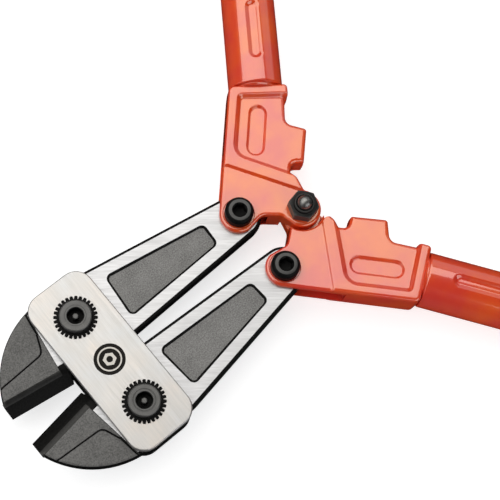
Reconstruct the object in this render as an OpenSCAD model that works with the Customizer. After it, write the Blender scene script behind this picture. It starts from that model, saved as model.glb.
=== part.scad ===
// Bolt cutters of the 24 inch class, lying flat and partly open.
// Millimetres. +X runs from the jaws towards the handles, +Y to the left handle, +Z up.
// The left and right halves are the same pieces turned over about the X axis.

/* [Pose] */
// how far each jaw is open from closed, in degrees
jaw_open = 8.2; // [0:0.1:9]
// turn of each handle fitting away from the centre line, in degrees
handle_open = 46; // [1:0.5:50]

/* [Linkage] */
// half the spacing of the two jaw bolts
jaw_bolt_y = 25.1; // [24:0.1:27]
// distance from the jaw bolts back to the centre bolt
jaw_bolt_back = 118.1; // [110:0.1:125]
// jaw bolt to toggle bolt, along the closed jaw
toggle_reach = 92.47; // [85:0.01:100]
// jaw bolt to toggle bolt, across the closed jaw
toggle_rise = 5.3; // [0:0.1:10]
// toggle bolt along the handle fitting, from the centre bolt
toggle_x = -5.75; // [-10:0.05:0]
// toggle bolt across the handle fitting, from the centre bolt
toggle_y = 30.5; // [26:0.05:36]

/* [Jaws] */
// jaw thickness
jaw_t = 10; // [8:0.5:12]
// width of the ground bevel that leads to the cutting edge
bevel_w = 8; // [5:0.5:10]
// flat left on the cutting edge
edge_land = 0.5; // [0.2:0.1:1]
// depth of the long panel in each jaw face
panel_depth = 1; // [0:0.1:2]
// outer radius of the jaw bushing
bushing_r = 8.8; // [8:0.1:10]
// radius of the jaw's rear hole, opened so that the toggle bolt has room
rear_hole_r = 7.1; // [5:0.1:8]

/* [Side plates] */
// plate length across the tool
plate_l = 88.8; // [80:0.2:95]
// plate width
plate_w = 34.2; // [30:0.2:40]
// plate thickness
plate_t = 4.2; // [3:0.1:6]
// plate corner radius
plate_r = 8.5; // [4:0.5:12]
// teeth on each jaw bolt collar
teeth = 28; // [20:1:36]

/* [Handles] */
// handle fitting thickness
fitting_t = 18.4; // [16:0.2:24]
// outward bend of the tube from the fitting, in degrees
tube_bend = 8.4; // [0:0.1:12]
// tube axis to centre bolt
tube_offset = 16.4; // [12:0.1:20]
// tube outer diameter
tube_d = 27.2; // [24:0.1:32]
// tube wall
tube_wall = 1.8; // [1.2:0.1:3]
// centre bolt to the end of the grip, along the tube
handle_l = 469; // [300:1:600]
// grip length
grip_l = 150; // [100:5:200]
// grip outer diameter
grip_d = 33; // [30:0.5:40]

/* [Hidden] */
$fn = 96;

bite = 0.5;                       // how far a cutter runs past the face it cuts
gap = 0.3;                        // air between faces that move past each other
run = 0.05;                       // radial clearance of a shaft that turns
rest_z = grip_d / 2;              // height of the middle plane above the ground
centre_x = -51.87;                // puts the bounding box centre at x = 0

plate_z = jaw_t / 2 + gap;        // inner face of each side plate
plate_top = plate_z + plate_t;
edge_y = -jaw_bolt_y + 0.1;       // cutting edge in the closed jaw's frame
tip_x = -47.2;                    // ends of the cutting edge
throat_x = -15.3;
bevel_end_x = -18.3;
nose_c = [-4.4, -27.4];           // centre and radius of the nose's outer curve
nose_r = 44.7;
nose_drop = 0.5;
tail_r = 11.5;                    // round end of the jaw at the toggle bolt
hub_r = jaw_bolt_y - gap;         // inner edge of the jaw between the two bolts

jaw_shank_r = 6.5;                // jaw bolt
jaw_thread_r = 6;
jaw_head_r = 7.5;
jaw_head_h = 4;
socket_r = 4;
socket_pin_r = 1.4;
collar_root_r = 8.5;
collar_tip_r = 10;
collar_h = 3.6;
collar_drop = 0.3;                // the collar stops this far below the plate's face
tooth_r = 0.5;
hole_gap = 0.15;                  // air around the collar in the top plate
jaw_socket_depth = 6.2;
pin_drop = 1;
jaw_washer_r = 11;

lug_t = jaw_t / 2 + gap;          // half the width of the clevis slot
pad_drop = 1;                     // the bolt pad lies this far below the fitting's face
pad_z = fitting_t / 2 - pad_drop;
seat_z = pad_z + 0.2;             // the centre nut and washer sit just clear of the turning ears
ear_r = 9.5;                      // round ends of the fitting
lobe_r = 9.5;
lap_r = 10.8;                     // half-lap relief around the centre bolt
recess_depth = 2.5;
pocket_depth = 1.4;
pocket_x = [29.9, 47.6];          // ends of the pocket along the fitting
pocket_y = 24.4;
pocket_r = 4.3;
tang_r = tube_d / 2 - tube_wall - run;
tang_l = 45;
collar_u = 64.5;                  // end of the fitting's collar, along the tube
tube_u = 65.7;                    // start of the tube
tube_end = handle_l - 4;
crimp_u = [82, 106];              // centres of the crimp's round ends, along the tube
crimp_w = 7;
crimp_depth = 0.9;
grip_flange = 1.2;
grip_ribs = 12;
rib_pitch = 8;
rib_w = 4;
rib_drop = 0.4;

toggle_shank_r = 4.5;             // shoulder of the toggle bolt, which carries the jaw
toggle_thread_r = 4;
toggle_head_r = 6.95;
toggle_rim_r = 5.3;
toggle_head_h = 5.6;
toggle_chamfer = 1.5;
toggle_socket_depth = 5.4;
toggle_key_af = 6;
centre_shank_r = 4;
centre_head_h = 5.3;
centre_washer_r = 8;
lock_ring_r = 4.9;
lock_ring_h = 1.6;
nut_af = 13;
nut_h = 6;
jaw_nut_af = 18;
washer_t = 1.2;

// ---- outline helpers -------------------------------------------------------

function unit(v) = v / norm(v);

// Signed angle from direction a to direction b, between -180 and 180.
function turn(a, b) = atan2(a.x * b.y - a.y * b.x, a * b);

function arc(c, r, from, to, steps = 12) =
    [for (i = [0:steps]) let (a = from + (to - from) * i / steps) c + r * [cos(a), sin(a)]];

// The arc of radius r that rounds corner b between a and c.
function fillet(a, b, c, r) =
    let (
        u = unit(a - b),
        w = unit(c - b),
        half = acos(u * w) / 2,
        centre = b + unit(u + w) * r / sin(half),
        first = b + u * r / tan(half) - centre,
        last = b + w * r / tan(half) - centre,
        start = atan2(first.y, first.x)
    )
    arc(centre, r, start, start + turn(first, last), 8);

// corners holds [x, y, radius]; a radius of 0 keeps the corner sharp.
function rounded(corners) =
    let (n = len(corners), p = [for (k = corners) [k.x, k.y]])
    [for (i = [0:n - 1])
        each (corners[i].z > 0 ? fillet(p[(i + n - 1) % n], p[i], p[(i + 1) % n], corners[i].z) : [p[i]])];

module slab(t, corners) {
    linear_extrude(height = t, center = true) polygon(rounded(corners));
}

module disc(r, from_z, to_z) {
    translate([0, 0, from_z]) cylinder(r = r, h = to_z - from_z);
}

module hexagon(across_flats, from_z, to_z) {
    translate([0, 0, from_z]) cylinder(r = across_flats / 2 / cos(30), h = to_z - from_z, $fn = 6);
}

// ---- placing ---------------------------------------------------------------

// Sets the working frame, centre bolt at the origin, on the ground and centred.
module placed() {
    translate([centre_x, 0, rest_z]) children();
}

// Turns a left-hand piece over to the right-hand side.
module other_side() {
    rotate([180, 0, 0]) children();
}

// The left jaw bolt's axis; the jaw is drawn closed and then opened about it.
module at_jaw_bolt() {
    translate([-jaw_bolt_back, jaw_bolt_y, 0]) children();
}

module in_jaw() {
    at_jaw_bolt() rotate([0, 0, -jaw_open]) children();
}

module in_handle() {
    rotate([0, 0, handle_open]) children();
}

module at_toggle() {
    translate([toggle_x, toggle_y, 0]) children();
}

// X along the tube's axis, measured from the centre bolt.
module on_tube() {
    rotate([0, 0, tube_bend]) translate([0, tube_offset, 0]) rotate([0, 90, 0]) children();
}

// ---- side plates and jaw bolts ----------------------------------------------

// A round-toothed star: the jaw bolt's collar and, grown by a gap, the hole that holds it.
module toothed(root_r, tip_r, grow, from_z, to_z) {
    r = tooth_r + grow;
    reach = tip_r - tooth_r;
    disc(root_r + grow, from_z, to_z);
    for (i = [0:teeth - 1])
        rotate([0, 0, i * 360 / teeth]) {
            translate([root_r - 1, -r, from_z]) cube([reach - root_r + 1, 2 * r, to_z - from_z]);
            translate([reach, 0, 0]) disc(r, from_z, to_z, $fn = 16);
        }
}

module plate_blank() {
    x = plate_w / 2;
    y = plate_l / 2;
    slab(plate_t, [[-x, -y, plate_r], [x, -y, plate_r], [x, y, plate_r], [-x, y, plate_r]]);
}

module top_side_plate() {
    placed() color("silver") difference() {
        translate([-jaw_bolt_back, 0, plate_z + plate_t / 2]) plate_blank();
        for (s = [-1, 1])
            translate([-jaw_bolt_back, s * jaw_bolt_y, 0])
                toothed(collar_root_r, collar_tip_r, hole_gap, plate_z - bite, plate_top + bite);
    }
}

module bottom_side_plate() {
    placed() color("silver") difference() {
        translate([-jaw_bolt_back, 0, -plate_z - plate_t / 2]) plate_blank();
        for (s = [-1, 1])
            translate([-jaw_bolt_back, s * jaw_bolt_y, 0])
                disc(jaw_shank_r + run, -plate_top - bite, -plate_z + bite);
    }
}

// A headed pin with a toothed collar that the top plate keeps from turning.
module jaw_bolt() {
    head_top = plate_top + jaw_head_h;
    collar_top = plate_top - collar_drop;
    socket_floor = head_top - jaw_socket_depth;
    color("dimgray") {
        difference() {
            union() {
                disc(jaw_head_r, collar_top - bite, head_top);
                toothed(collar_root_r, collar_tip_r, 0, collar_top - collar_h, collar_top);
                disc(jaw_shank_r, -plate_top, collar_top);
                disc(jaw_thread_r, -rest_z, -plate_top);
            }
            disc(socket_r, socket_floor, head_top + bite);
        }
        disc(socket_pin_r, socket_floor - bite, head_top - pin_drop, $fn = 32);
    }
}

module left_jaw_bolt() {
    placed() at_jaw_bolt() jaw_bolt();
}

module right_jaw_bolt() {
    placed() mirror([0, 1, 0]) at_jaw_bolt() jaw_bolt();
}

module jaw_bolt_washers() {
    placed() color("dimgray") for (s = [-1, 1])
        translate([-jaw_bolt_back, s * jaw_bolt_y, 0]) difference() {
            disc(jaw_washer_r, -plate_top - washer_t, -plate_top);
            disc(jaw_thread_r + run, -plate_top - washer_t - bite, -plate_top + bite);
        }
}

module jaw_bolt_nuts() {
    top = -plate_top - washer_t;
    placed() color("dimgray") for (s = [-1, 1])
        translate([-jaw_bolt_back, s * jaw_bolt_y, 0]) difference() {
            hexagon(jaw_nut_af, -rest_z, top);
            disc(jaw_thread_r, -rest_z - bite, top + bite);
        }
}

// ---- jaws --------------------------------------------------------------------

function jaw_outline() =
    let (
        toggle = [toggle_reach, toggle_rise],
        inner_start = [21.7, -19.5],
        hub_from = -124,
        hub_to = -58
    )
    concat(
        [[tip_x, edge_y], [throat_x, edge_y]],
        arc([0, 0], hub_r, hub_from, hub_to),
        [inner_start],
        arc(toggle, tail_r, -79.7, 88.8, 24),
        [[15, 18.6]],
        arc(nose_c, nose_r, 90, 167.4, 32)
    );

// The long panel between the plate and the toggle bolt.
module jaw_panel() {
    slab(2 * panel_depth, [[21.6, 11.5, 3], [22.8, -12.1, 3], [76.7, -2.1, 3], [75.8, 10.2, 3]]);
}

// One bevel of the cutting edge, drawn as a wedge along the closed jaw's edge.
module bevel_cutter() {
    translate([tip_x - 3, edge_y, 0]) rotate([90, 0, 90])
        linear_extrude(height = bevel_end_x - tip_x + 3)
            polygon([[-bite, edge_land / 2], [0, edge_land / 2], [bevel_w, jaw_t / 2 + 0.01],
                [bevel_w, jaw_t], [-bite, jaw_t]]);
}

// The inner part of the nose face is struck a little lower than the outer part.
module nose_step() {
    slab(2 * nose_drop, [
        [-60, -11.9, 0], [-60, -30, 0], [bevel_end_x, -30, 0], [bevel_end_x, -4, 0], [-23.8, -6.6, 3]
    ]);
}

module jaw() {
    color("gray") difference() {
        linear_extrude(height = jaw_t, center = true) polygon(jaw_outline());
        disc(bushing_r, -jaw_t, jaw_t);
        translate([toggle_reach, toggle_rise, 0]) disc(rear_hole_r, -jaw_t, jaw_t);
        for (face = [0, 180])
            mirror([0, 0, face / 180]) {
                bevel_cutter();
                translate([0, 0, jaw_t / 2]) {
                    jaw_panel();
                    nose_step();
                }
            }
    }
}

module jaw_bushing() {
    color("darkgoldenrod") difference() {
        disc(bushing_r, -jaw_t / 2, jaw_t / 2);
        disc(jaw_shank_r + run, -jaw_t, jaw_t);
    }
}

module left_jaw() {
    placed() in_jaw() jaw();
}

module right_jaw() {
    placed() other_side() in_jaw() jaw();
}

module left_jaw_bushing() {
    placed() in_jaw() jaw_bushing();
}

module right_jaw_bushing() {
    placed() other_side() in_jaw() jaw_bushing();
}

// ---- centre pivot --------------------------------------------------------------

module centre_bolt() {
    head_top = -seat_z - washer_t;
    thread_end = seat_z + nut_h + 2;
    placed() color("dimgray") {
        disc(centre_shank_r, head_top, thread_end);
        translate([0, 0, thread_end]) intersection() {
            sphere(r = centre_shank_r);
            disc(centre_shank_r + 1, 0, centre_shank_r - 0.8);
        }
        hexagon(nut_af, head_top - centre_head_h, head_top);
    }
}

module centre_washer() {
    placed() color("dimgray") difference() {
        disc(centre_washer_r, -seat_z - washer_t, -seat_z);
        disc(centre_shank_r, -seat_z - washer_t - bite, -seat_z + bite);
    }
}

// The nut's corners are cut by a cone, and its locking ring stands on top.
module centre_nut() {
    nut_top = seat_z + nut_h;
    placed() color("dimgray") difference() {
        union() {
            intersection() {
                hexagon(nut_af, seat_z, nut_top);
                translate([0, 0, seat_z]) cylinder(r1 = nut_af, r2 = nut_af / 2 - 0.4, h = nut_h);
            }
            disc(lock_ring_r, nut_top - bite, nut_top + lock_ring_h);
        }
        disc(centre_shank_r, seat_z - bite, nut_top + lock_ring_h + bite);
    }
}

// ---- handle fittings -------------------------------------------------------------

// The forging's outline in its own frame: centre bolt at the origin, +Y outwards.
function fitting_corners() = [
    [0, 0, 0], [9.9, -0.3, 0], [17.3, 4.2, 2.5], [18.9, 6.2, 0], [23.4, 6.2, 3], [24.2, -0.1, 1.2],
    [42.6, -0.6, 1.8], [44.4, 10.2, 4], [57.6, 11.4, 0], [58, 9.8, 1], [64.6, 10.8, 2.2],
    [60.2, 40, 3], [toggle_x, 40, 0], [toggle_x - lobe_r, toggle_y, 0], [-13, 24.6, 0],
    [-5.6, 19, 5], [-4.9, 9.6, 4], [-8.9, 3.3, 0]
];

module fitting_blank() {
    slab(fitting_t, fitting_corners());
    disc(ear_r, -fitting_t / 2, fitting_t / 2);
    at_toggle() disc(lobe_r, -fitting_t / 2, fitting_t / 2);
}

// The clevis slot that takes the jaw's round end, with room for it to swing.
module clevis_slot() {
    slab(2 * lug_t, [[-30, 16.2, 0], [8, 16.2, 4], [25, 38, 0], [25, 50, 0], [-30, 50, 0]]);
}

// Everything sunk into one face: the bolt pad, the stepped panel and its long pocket.
module face_cuts() {
    face_z = fitting_t / 2;
    pocket_floor = face_z - recess_depth - pocket_depth;
    translate([0, 0, face_z]) {
        slab(2 * pad_drop, [
            [-30, -20, 0], [9.8, -20, 0], [9.8, 0, 0], [18.9, 37, 0], [17.6, 60, 0], [-30, 60, 0]
        ]);
        slab(2 * recess_depth, [
            [15.6, 4, 0], [15.6, -9, 0], [61, -9, 0], [59, 11, 0], [55.6, 35, 3], [24, 35, 7]
        ]);
    }
    for (x = pocket_x)
        translate([x, pocket_y, 0]) disc(pocket_r, pocket_floor, face_z);
    translate([pocket_x[0], pocket_y - pocket_r, pocket_floor])
        cube([pocket_x[1] - pocket_x[0], 2 * pocket_r, recess_depth + pocket_depth]);
}

module fitting() {
    color("orangered") difference() {
        union() {
            fitting_blank();
            on_tube() disc(tang_r, collar_u, collar_u + tang_l);
        }
        clevis_slot();
        face_cuts();
        mirror([0, 0, 1]) face_cuts();
        disc(lap_r, -fitting_t, gap / 2);
        disc(centre_shank_r + run, -fitting_t, fitting_t, $fn = 64);
        at_toggle() disc(toggle_shank_r, -fitting_t, fitting_t, $fn = 64);
    }
}

// ---- toggle bolts ----------------------------------------------------------------

module toggle_bolt() {
    head_top = pad_z + toggle_head_h;
    rim_z = head_top - toggle_chamfer;
    color("dimgray") at_toggle() difference() {
        union() {
            disc(toggle_head_r, pad_z, rim_z);
            translate([0, 0, rim_z]) cylinder(r1 = toggle_head_r, r2 = toggle_rim_r, h = toggle_chamfer);
            disc(toggle_shank_r, -pad_z, pad_z + bite);
            disc(toggle_thread_r, -pad_z - nut_h, -pad_z);
        }
        hexagon(toggle_key_af, head_top - toggle_socket_depth, head_top + bite);
    }
}

module toggle_nut() {
    color("dimgray") at_toggle() difference() {
        hexagon(nut_af, -pad_z - nut_h, -pad_z);
        disc(toggle_thread_r, -pad_z - nut_h - bite, -pad_z + bite);
    }
}

// ---- tubes and grips -----------------------------------------------------------------

// The crimp that locks the tube on the tang, pressed in on the side named by sign.
module crimp(sign) {
    floor_r = tube_d / 2 - crimp_depth;
    translate([sign * (floor_r + crimp_w), 0, 0]) {
        translate([-crimp_w, -crimp_w / 2, crimp_u[0]])
            cube([2 * crimp_w, crimp_w, crimp_u[1] - crimp_u[0]]);
        for (u = crimp_u)
            translate([-crimp_w, 0, u]) rotate([0, 90, 0])
                cylinder(r = crimp_w / 2, h = 2 * crimp_w, $fn = 48);
    }
}

module tube() {
    color("orangered") on_tube() difference() {
        disc(tube_d / 2, tube_u, tube_end);
        disc(tube_d / 2 - tube_wall, tube_u - bite, tube_end + bite);
        crimp(1);
        crimp(-1);
    }
}

// A sleeve with a closed end, a flange at each end and low ribs between them.
module grip() {
    start = handle_l - grip_l;
    color("black") on_tube() difference() {
        union() {
            disc(grip_d / 2 - grip_flange, start, handle_l);
            disc(grip_d / 2, start, start + 8);
            disc(grip_d / 2, handle_l - 12, handle_l - 2);
            for (i = [0:grip_ribs - 1])
                let (u = start + 20 + i * rib_pitch) disc(grip_d / 2 - rib_drop, u, u + rib_w);
        }
        disc(tube_d / 2, start - bite, tube_end);
    }
}

module left_fitting() {
    placed() in_handle() fitting();
}

module left_tube() {
    placed() in_handle() tube();
}

module left_grip() {
    placed() in_handle() grip();
}

module left_toggle_bolt() {
    placed() in_handle() toggle_bolt();
}

module left_toggle_nut() {
    placed() in_handle() toggle_nut();
}

module right_fitting() {
    placed() other_side() in_handle() fitting();
}

module right_tube() {
    placed() other_side() in_handle() tube();
}

module right_grip() {
    placed() other_side() in_handle() grip();
}

// Both toggle bolts go in from the top, so this one is mirrored instead of turned over.
module right_toggle_bolt() {
    placed() mirror([0, 1, 0]) in_handle() toggle_bolt();
}

module right_toggle_nut() {
    placed() mirror([0, 1, 0]) in_handle() toggle_nut();
}

// ---- nodes ---------------------------------------------------------------------------

top_side_plate();
bottom_side_plate();
left_jaw_bolt();
right_jaw_bolt();
jaw_bolt_washers();
jaw_bolt_nuts();
left_jaw();
left_jaw_bushing();
right_jaw();
right_jaw_bushing();
centre_bolt();
centre_washer();
centre_nut();
left_fitting();
left_tube();
left_grip();
left_toggle_bolt();
left_toggle_nut();
right_fitting();
right_tube();
right_grip();
right_toggle_bolt();
right_toggle_nut();
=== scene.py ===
"""The looks of the bolt cutters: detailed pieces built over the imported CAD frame.

Shapes are drawn in millimetres in two flat working frames, the closed jaw's (jaw bolt at the
origin) and the handle fitting's (centre bolt at the origin), and placed from the frame's own nodes.
"""
import math

import bmesh
import bpy
import numpy as np
from mathutils import Matrix, Vector
from mathutils.geometry import delaunay_2d_cdt

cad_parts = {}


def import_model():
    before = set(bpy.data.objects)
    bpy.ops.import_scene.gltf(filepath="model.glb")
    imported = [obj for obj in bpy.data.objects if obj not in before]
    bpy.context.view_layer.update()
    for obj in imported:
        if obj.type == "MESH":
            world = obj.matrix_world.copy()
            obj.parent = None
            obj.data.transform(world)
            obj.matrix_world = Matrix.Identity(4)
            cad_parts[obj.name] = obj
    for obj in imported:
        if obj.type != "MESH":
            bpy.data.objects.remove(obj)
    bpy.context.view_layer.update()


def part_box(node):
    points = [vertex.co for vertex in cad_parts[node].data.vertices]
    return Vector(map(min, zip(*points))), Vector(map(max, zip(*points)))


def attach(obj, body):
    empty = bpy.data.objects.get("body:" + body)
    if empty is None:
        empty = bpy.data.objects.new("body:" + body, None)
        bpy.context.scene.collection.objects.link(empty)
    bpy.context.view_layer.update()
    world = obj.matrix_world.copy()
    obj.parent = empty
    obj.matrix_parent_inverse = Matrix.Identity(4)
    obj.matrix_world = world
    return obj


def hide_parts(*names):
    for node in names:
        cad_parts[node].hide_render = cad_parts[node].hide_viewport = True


MM = 0.001

# Toggle bolt in the closed jaw's frame and in the fitting's frame.
TOGGLE_IN_JAW = (92.47, 5.3)
TOGGLE_IN_FITTING = (-5.75, 30.5)

# Jaws. Heights are measured from the tool's middle plane.
JAW_FACE = 5.0
EDGE_Y = -25.0
TIP_X = -47.2
THROAT_X = -15.3
THROAT_Y = -14.8
THROAT_LINE_END = 5
GROUND_X = -18.1  # the ground face ends here and the forged nose begins
HUB_R = 24.8
TAIL_R = 11.5
REAR_HOLE_R = 7.1
BUSHING_R = 8.8
JAW_DRAFT = 0.1
JAW_ROUND = 1.2

# Side plates and jaw bolts.
PLATE_HALF_W = 17.1
PLATE_HALF_L = 44.4
PLATE_LOW = 5.3
PLATE_TOP = 9.5
PLATE_CORNER = 8.5
JAW_BOLT_Y = 25.1
JAW_SHANK_R = 6.5
JAW_THREAD_R = 6.0
JAW_HEAD_R = 7.5
JAW_SOCKET_R = 3.9
JAW_PIN_R = 1.35
JAW_HEAD_TOP = PLATE_TOP + 4.0
JAW_NUT_LOW = -16.5
JAW_NUT_AF = 18
TEETH = 28
COLLAR_ROOT = 8.6
COLLAR_TIP = 10.0
COLLAR_GAP = 0.15
STEPS_PER_TOOTH = 12
WASHER = 1.2
JAW_WASHER_R = 11
RUN = 0.05  # radial clearance of a shaft that turns
SNUG = 0.02  # keeps the touching faces of two pieces apart

# Handle fittings, centre bolt and toggle bolts.
FITTING_FACE = 9.2
PAD_DROP = 1.0
PAD_FACE = FITTING_FACE - PAD_DROP
CENTRE_SEAT = PAD_FACE + 0.2
SLOT_HALF = 5.3
EAR_R = 9.5
LAP_R = 10.8
FITTING_DRAFT = 0.03
FITTING_ROUND = 1.6
NUT_AF = 13
NUT_HEIGHT = 6.0
NUT_TURN = -19  # degrees
CENTRE_SHANK_R = 4.0
CENTRE_WASHER_R = 8
SHOULDER_R = 4.5
TOGGLE_THREAD_R = 4.0
TOGGLE_HEAD_R = 6.95
TOGGLE_RIM_R = 5.3
TOGGLE_SOCKET_R = 3.7
TOGGLE_HEAD_TOP = PAD_FACE + 5.6
SEAT_DEPTH = 0.45  # the toggle bolt's head sits this deep in its spot face
CENTRE_HEAD_HEIGHT = 5.3
CENTRE_END = CENTRE_SEAT + 8.0  # top of the centre bolt's thread, below its dome

# Tubes and grips, along the tube's axis from the centre bolt.
TUBE_BEND = 8.4  # degrees
TUBE_OFFSET = 16.4
TUBE_R = 13.6
TUBE_WALL = 1.8
TUBE_START = 65.7
COLLAR_END = 64.5
TANG_R = 11.7
TANG_LENGTH = 45
HANDLE_END = 469.0
GRIP_LENGTH = 150.0
GRIP_R = 16.5
GRIP_CAP = 4  # the grip's closed end, past the end of the tube
GRIP_RIBS = 12
RIB_PITCH = 8

FAR = 30  # how far a cutter reaches past the faces it cuts
FULL_STEPS = 96  # sides of a turned piece
# Fractions of a rounded edge's radius at equal turns of its arc.
ROUND_STEPS = [round(1 - math.cos(math.radians(turn)), 3) for turn in range(0, 91, 15)]
WALL_STEPS = (0, 0.15, 0.3, 0.5, 0.7, 0.85, 1)


# ---- flat outlines ---------------------------------------------------------------------


def unit(v):
    return v / np.linalg.norm(v)


def arc(centre, r, start, end, steps=16):
    """Points on an arc about centre, angles in degrees."""
    turn = np.radians(np.linspace(start, end, steps + 1))
    return [(centre[0] + r * math.cos(a), centre[1] + r * math.sin(a)) for a in turn]


def fillet(a, b, c, r, steps=8):
    """The arc of radius r that rounds corner b between a and c."""
    u, w = unit(a - b), unit(c - b)
    half = math.acos(np.clip(u @ w, -1, 1)) / 2
    centre = b + unit(u + w) * r / math.sin(half)
    first = b + u * r / math.tan(half) - centre
    last = b + w * r / math.tan(half) - centre
    start = math.degrees(math.atan2(first[1], first[0]))
    swing = math.degrees(math.atan2(first[0] * last[1] - first[1] * last[0], first @ last))
    return arc(centre, r, start, start + swing, steps)


def rounded(corners):
    """A closed outline from (x, y) or (x, y, radius) corners, with the rounded ones as arcs."""
    points = [np.array(c[:2], float) for c in corners]
    outline = []
    for i, corner in enumerate(corners):
        if len(corner) == 3:
            outline += fillet(points[i - 1], points[i], points[(i + 1) % len(points)], corner[2])
        else:
            outline.append(corner)
    return np.array(outline, float)


def circle(centre, r, steps=64):
    return np.array(arc(centre, r, 0, 360, steps)[:-1])


def inset(outline, d):
    """The closed counter-clockwise outline moved inwards by d, with mitred corners."""
    after = np.roll(outline, -1, axis=0) - outline
    after /= np.linalg.norm(after, axis=1)[:, None]
    before = np.roll(after, 1, axis=0)
    both = np.stack([-before[:, 1] - after[:, 1], before[:, 0] + after[:, 0]], 1)
    size = np.maximum((both**2).sum(1), 0.8)[:, None]
    return outline + both * 2 / size * d


def inside(points, outline):
    x, y = points[:, 0, None], points[:, 1, None]
    ax, ay = outline.T
    bx, by = np.roll(outline, -1, axis=0).T
    rise = np.where(by == ay, 1, by - ay)
    crosses = ((ay > y) != (by > y)) & (x < ax + (y - ay) * (bx - ax) / rise)
    return crosses.sum(1) % 2 == 1


def line_distance(points, line, closed=False):
    """Distance of each point from a line of points."""
    start = line if closed else line[:-1]
    end = np.roll(line, -1, axis=0) if closed else line[1:]
    edge = end - start
    from_start = points[:, None] - start[None]
    along = (from_start * edge).sum(2) / (edge**2).sum(1)
    away = from_start - np.clip(along, 0, 1)[..., None] * edge
    return np.sqrt((away**2).sum(2)).min(1)


def depth_inside(points, outline):
    """Distance of each point from a closed outline, positive inside and negative outside."""
    away = line_distance(points, outline, closed=True)
    return np.where(inside(points, outline), away, -away)


def ramp(distance, width):
    """0 up to distance 0 and 1 from distance width, easing in and out like a drafted wall."""
    t = np.clip(distance / width, 0, 1)
    return t * t * (3 - 2 * t)


def edge_height(d, level, radius, draft):
    """Height at distance d inside an outline whose side leans by draft, then rounds into level."""
    start = draft * (level - radius)
    bend = np.clip((d - start) / radius, 0, 1)
    top = level - radius + radius * np.sqrt(1 - (1 - bend) ** 2)
    return np.where(d < start, d / np.maximum(draft, 1e-6), top)


# ---- meshes ----------------------------------------------------------------------------


def triangulate(outline, holes, lines):
    """Points and triangles inside the outline and outside the holes, with every line as edges."""
    closed = [np.vstack([loop, loop[:1]]) for loop in [outline, *holes]]
    points, edges = [], []
    for line in [*closed, *lines]:
        first = len(points)
        points += [Vector(p) for p in line]
        edges += [(first + i, first + i + 1) for i in range(len(line) - 1)]
    found = delaunay_2d_cdt(points, edges, [], 0, 1e-4)
    points = np.array([p[:] for p in found[0]])
    triangles = np.array(found[2])
    middles = points[triangles].mean(1)
    keep = inside(middles, outline)
    for hole in holes:
        keep &= ~inside(middles, hole)
    triangles = triangles[keep]
    used, triangles = np.unique(triangles, return_inverse=True)
    return points[used], triangles.reshape(-1, 3)


def forge(outline, top, bottom, holes=(), lines=()):
    """A closed solid between two height functions over one outline."""
    points, triangles = triangulate(outline, holes, lines)
    count = len(points)
    vertices = np.vstack([np.c_[points, top(points)], np.c_[points, bottom(points)]])
    directed = {(int(a), int(b)) for t in triangles for a, b in zip(t, np.roll(t, -1))}
    rim = [(a, b) for a, b in directed if (b, a) not in directed]
    faces = [tuple(map(int, t)) for t in triangles]
    faces += [tuple(int(i) + count for i in t[::-1]) for t in triangles]
    faces += [(b, a, a + count, b + count) for a, b in sorted(rim)]
    return vertices, faces


def rings(outline, depths):
    """Closed lines at several depths inside an outline."""
    return [np.vstack([loop, loop[:1]]) for loop in (inset(outline, d) for d in depths)]


def lathe(profile, angles, loop=False):
    """A solid of revolution about z. Each profile entry is (r, z), fixed or one value per angle."""
    count = len(angles)
    vertices, starts = [], []
    for r, z in profile:
        starts.append((len(vertices), np.ndim(r) == 0 and r == 0))
        if starts[-1][1]:
            vertices.append((0, 0, float(z)))
            continue
        r, z = np.broadcast_to(r, count), np.broadcast_to(z, count)
        vertices += list(zip(r * np.cos(angles), r * np.sin(angles), z))
    faces = []
    pairs = list(zip(starts, starts[1:] + starts[:1]))
    for (a, a_point), (b, b_point) in pairs if loop else pairs[:-1]:
        for i in range(count):
            j = (i + 1) % count
            if a_point:
                faces.append((a, b + j, b + i))
            elif b_point:
                faces.append((a + i, a + j, b))
            else:
                faces.append((a + i, a + j, b + j, b + i))
    return np.array(vertices), faces


def full_turn(steps):
    return np.linspace(0, 2 * math.pi, steps, endpoint=False)


def make_object(name, shape, matrix):
    """An object from (vertices, faces) in millimetres, welded and placed by matrix."""
    mesh = bpy.data.meshes.new(name)
    mesh.from_pydata([tuple(v) for v in shape[0]], [], shape[1])
    work = bmesh.new()
    work.from_mesh(mesh)
    bmesh.ops.remove_doubles(work, verts=work.verts, dist=0.002)
    bmesh.ops.dissolve_degenerate(work, edges=work.edges, dist=0.002)
    bmesh.ops.recalc_face_normals(work, faces=work.faces)
    work.to_mesh(mesh)
    work.free()
    mesh.transform(matrix)
    if matrix.determinant() < 0:
        mesh.flip_normals()
    obj = bpy.data.objects.new(name, mesh)
    bpy.context.collection.objects.link(obj)
    return obj


def cut(shape, *cutters):
    """shape with each cutter's solid taken out, worked in millimetres."""
    obj = make_object("being_cut", shape, Matrix.Identity(4))
    for solid in cutters:
        cutter = make_object("cutter", solid, Matrix.Identity(4))
        modifier = obj.modifiers.new("cut", "BOOLEAN")
        modifier.operation = "DIFFERENCE"
        modifier.solver = "EXACT"
        modifier.object = cutter
        result = bpy.data.meshes.new_from_object(
            obj.evaluated_get(bpy.context.evaluated_depsgraph_get())
        )
        obj.modifiers.clear()
        obj.data = result
        bpy.data.objects.remove(cutter)
    vertices = np.array([v.co[:] for v in obj.data.vertices])
    faces = [tuple(p.vertices) for p in obj.data.polygons]
    bpy.data.objects.remove(obj)
    return vertices, faces


def prism(outline, low, high):
    """A straight extrusion of a closed outline."""
    return forge(outline, lambda p: np.full(len(p), high), lambda p: np.full(len(p), low))


def joined(*shapes):
    """Several closed shapes as one mesh."""
    vertices, faces, count = [], [], 0
    for some_vertices, some_faces in shapes:
        vertices.append(np.asarray(some_vertices))
        faces += [tuple(i + count for i in f) for f in some_faces]
        count += len(some_vertices)
    return np.vstack(vertices), faces


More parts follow.
